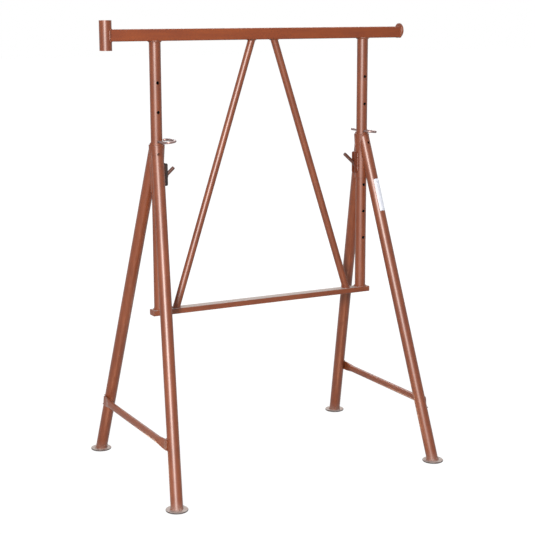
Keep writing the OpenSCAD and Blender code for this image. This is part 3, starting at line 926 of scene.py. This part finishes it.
class TRESTLE_OT_lay_welds(bpy.types.Operator):
    """Lay the weld beads on the sliding frame and on both leg pairs"""

    bl_idname = "trestle.lay_welds"
    bl_label = "Lay Welds"

    def execute(self, context):
        trestle = context.scene.trestle
        welds = trestle.welds
        coat = enamel(trestle.paint, "weld_enamel", WELD_SHADE, ripple=3.0)
        make_piece("frame_welds", frame_beads(welds), coat, "upper_frame")
        for side in SIDES:
            make_piece(f"{side}_leg_welds", leg_beads(side, welds), coat,
                       f"{side}_leg_frame")
        return {"FINISHED"}


class TRESTLE_OT_stick_label(bpy.types.Operator):
    """Stick the blank label on the right front leg"""

    bl_idname = "trestle.stick_label"
    bl_label = "Stick Label"

    def execute(self, context):
        trestle = context.scene.trestle
        leg = LegAxis("right", "front", trestle.welds.apex_rise)
        make_piece("blank_label", [label_shell(leg, trestle.label)], blank_vinyl(trestle.paint),
                   "right_leg_frame")
        return {"FINISHED"}


class TRESTLE_OT_set_stage(bpy.types.Operator):
    """Set the floor, the surrounding light, the lamps and the camera"""

    bl_idname = "trestle.set_stage"
    bl_label = "Set Stage"

    def execute(self, context):
        scene = context.scene
        stage = scene.trestle.stage
        scene.view_settings.view_transform = "Standard"
        self.floor(scene, stage)
        self.surround(scene, stage)
        self.lamp(scene, "key_lamp", KEY_PLACE, LAMP_AIM, KEY_SIZE, stage.key_tint, stage.key)
        self.lamp(scene, "shine_lamp", KEY_PLACE, LAMP_AIM, KEY_SIZE, stage.shine_tint, stage.shine,
                  lights=False)
        self.lamp(scene, "back_lamp", BACK_PLACE, LAMP_AIM, SOFT_SIZE, WHITE, stage.back)
        self.lamp(scene, "side_lamp", SIDE_PLACE, LAMP_AIM, SOFT_SIZE, WHITE, stage.side)
        for name, ends in GROUND_STRIPS.items():
            self.strip(scene, name, *(Vector((*end, STRIP_HEIGHT)) for end in ends), stage)
        self.camera(scene, stage)
        return {"FINISHED"}

    def floor(self, scene, stage):
        """A wide level sheet just under the feet. It throws little light back on the object, and is
        white to the eye and in reflections, apart from a share that takes the object's shadow."""
        side = np.linspace(-FLOOR_HALF, FLOOR_HALF, FLOOR_CELLS + 1)
        x, y = np.meshgrid(side, side, indexing="ij")
        points = np.stack([x, y, np.full_like(x, -FLOOR_DROP)], -1).reshape(-1, 3)
        i, j = np.meshgrid(np.arange(FLOOR_CELLS), np.arange(FLOOR_CELLS), indexing="ij")
        row = FLOOR_CELLS + 1
        first = (i * row + j).reshape(-1)
        cells = np.stack([first, first + row, first + row + 1, first + 1], -1)
        mesh = bpy.data.meshes.new("floor")
        mesh.from_pydata(points.tolist(), [], cells.tolist())
        pale = Finish("floor_pale", {"Roughness": 0.9})
        seen = pale.shown()
        pale.feed(base_color=pale.mix(seen, colour(stage.floor), FLOOR_SEEN))
        away = pale.length(pale.place())
        glow = FLOOR_GLOW + FLOOR_GLOW_RISE * away.step(*FLOOR_GLOW_SPAN)
        white = pale.node("ShaderNodeEmission", {}, {"Strength": glow})
        lit = Tone(pale.tree, pale.shader.outputs[0])
        blend = pale.node("ShaderNodeMixShader", {}, {0: seen * FLOOR_GLOW_SHARE, 1: lit, 2: white})
        pale.tree.links.new(blend.socket, pale.output.inputs["Surface"])
        mesh.materials.append(pale.material)
        sheet = bpy.data.objects.new("floor", mesh)
        scene.collection.objects.link(sheet)

    def surround(self, scene, stage):
        """White to the eye and in reflections. The light on the object comes in five soft lobes,
        from above and from the camera's front, left, right and back. A lobe's weight is the square
        of the direction's share along its axis, and the side lobes fade out at the horizon."""
        world = bpy.data.worlds.new("surround")
        world.use_nodes = True
        sky = Graph(world.node_tree)
        toward = sky.node("ShaderNodeTexCoord", out="Generated")
        x, y, z = (sky.node("ShaderNodeSeparateXYZ", {}, {0: toward}, out=axis) for axis in "XYZ")
        ahead = x * math.sin(stage.yaw) + y * math.cos(stage.yaw)
        across = x * math.cos(stage.yaw) - y * math.sin(stage.yaw)
        rise = z.step(*HORIZON)
        light = sky.scaled(tuple(stage.sky_top), z.clamped() ** 2.0)
        for share, tint in ((-1.0 * ahead, stage.sky_front), (-1.0 * across, stage.sky_left),
                            (across, stage.sky_right), (ahead, stage.sky_back)):
            light = sky.total(light, sky.scaled(tuple(tint), rise * share.clamped() ** 2.0))
        back = sky.node("ShaderNodeBackground", {}, {"Color": sky.mix(sky.shown(), light, WHITE)})
        sky.node("ShaderNodeOutputWorld", {}, {"Surface": back})
        scene.world = world

    def lamp(self, scene, name, place, aim, size, tint, power, lights=True):
        """A soft lamp of the given width and height that looks at a point, and that the eye doesn't
        see. Where lights is off, it shows only in the highlights."""
        light = bpy.data.lights.new(name, "AREA")
        light.shape = "RECTANGLE"
        light.size, light.size_y = size
        light.color = tint
        light.energy = power
        lamp = bpy.data.objects.new(name, light)
        lamp.location = place
        lamp.rotation_euler = (Vector(aim) - Vector(place)).to_track_quat("-Z", "Y").to_euler()
        lamp.visible_camera = False
        lamp.visible_diffuse = lights
        scene.collection.objects.link(lamp)

    def strip(self, scene, name, near, far, stage):
        """A narrow lamp that lies between two points on the ground, looks up and shows only in the
        highlights."""
        middle = (near + far) / 2.0
        reach = far - near
        aim = middle + reach.normalized() * STRIP_LEAN + Vector(UP)
        size = (stage.strip_width, reach.length)
        power = stage.strip * size[0] * size[1]
        self.lamp(scene, name, middle, aim, size, stage.strip_tint, power, lights=False)

    def camera(self, scene, stage):
        """A camera from its place and three angles: yaw and pitch aim it, and roll turns it."""
        data = bpy.data.cameras.new("camera")
        data.sensor_fit = "HORIZONTAL"
        data.sensor_width = SENSOR_WIDTH
        data.lens = stage.lens
        data.clip_end = FAR_CLIP
        reach = math.cos(stage.pitch)
        forward = Vector((math.sin(stage.yaw) * reach, math.cos(stage.yaw) * reach,
                          -math.sin(stage.pitch)))
        level = forward.cross(Vector(UP)).normalized()
        upward = level.cross(forward)
        right = level * math.cos(stage.roll) + upward * math.sin(stage.roll)
        up = right.cross(forward)
        turn = Matrix((right, up, -forward)).transposed().to_4x4()
        eye = bpy.data.objects.new("camera", data)
        eye.matrix_world = Matrix.Translation(stage.camera) @ turn
        scene.collection.objects.link(eye)
        scene.camera = eye


OPERATORS = (TRESTLE_OT_paint_frame, TRESTLE_OT_finish_steel, TRESTLE_OT_lay_welds,
             TRESTLE_OT_stick_label, TRESTLE_OT_set_stage)


class TRESTLE_PT_sidebar(bpy.types.Panel):
    """The trestle's steps, in order"""

    bl_idname = "TRESTLE_PT_sidebar"
    bl_label = "Trestle"
    bl_space_type = "VIEW_3D"
    bl_region_type = "UI"
    bl_category = "Trestle"

    def draw(self, context):
        for operator in OPERATORS:
            self.layout.operator(operator.bl_idname)


CLASSES = (PaintSettings, WeldSettings, LabelSettings, StageSettings, TrestleSettings, *OPERATORS,
           TRESTLE_PT_sidebar)


def register():
    """Registers the classes and puts the settings on the scene."""
    for cls in CLASSES:
        bpy.utils.register_class(cls)
    bpy.types.Scene.trestle = PointerProperty(
        type=TrestleSettings, name="Trestle", description="All settings of the trestle")


def unregister():
    """Takes the settings and the classes away again."""
    del bpy.types.Scene.trestle
    for cls in reversed(CLASSES):
        bpy.utils.unregister_class(cls)


def main():
    """Runs every step in order."""
    register()
    bpy.ops.trestle.paint_frame()
    bpy.ops.trestle.finish_steel()
    bpy.ops.trestle.lay_welds()
    bpy.ops.trestle.stick_label()
    bpy.ops.trestle.set_stage()


if __name__ == "__main__":
    main()
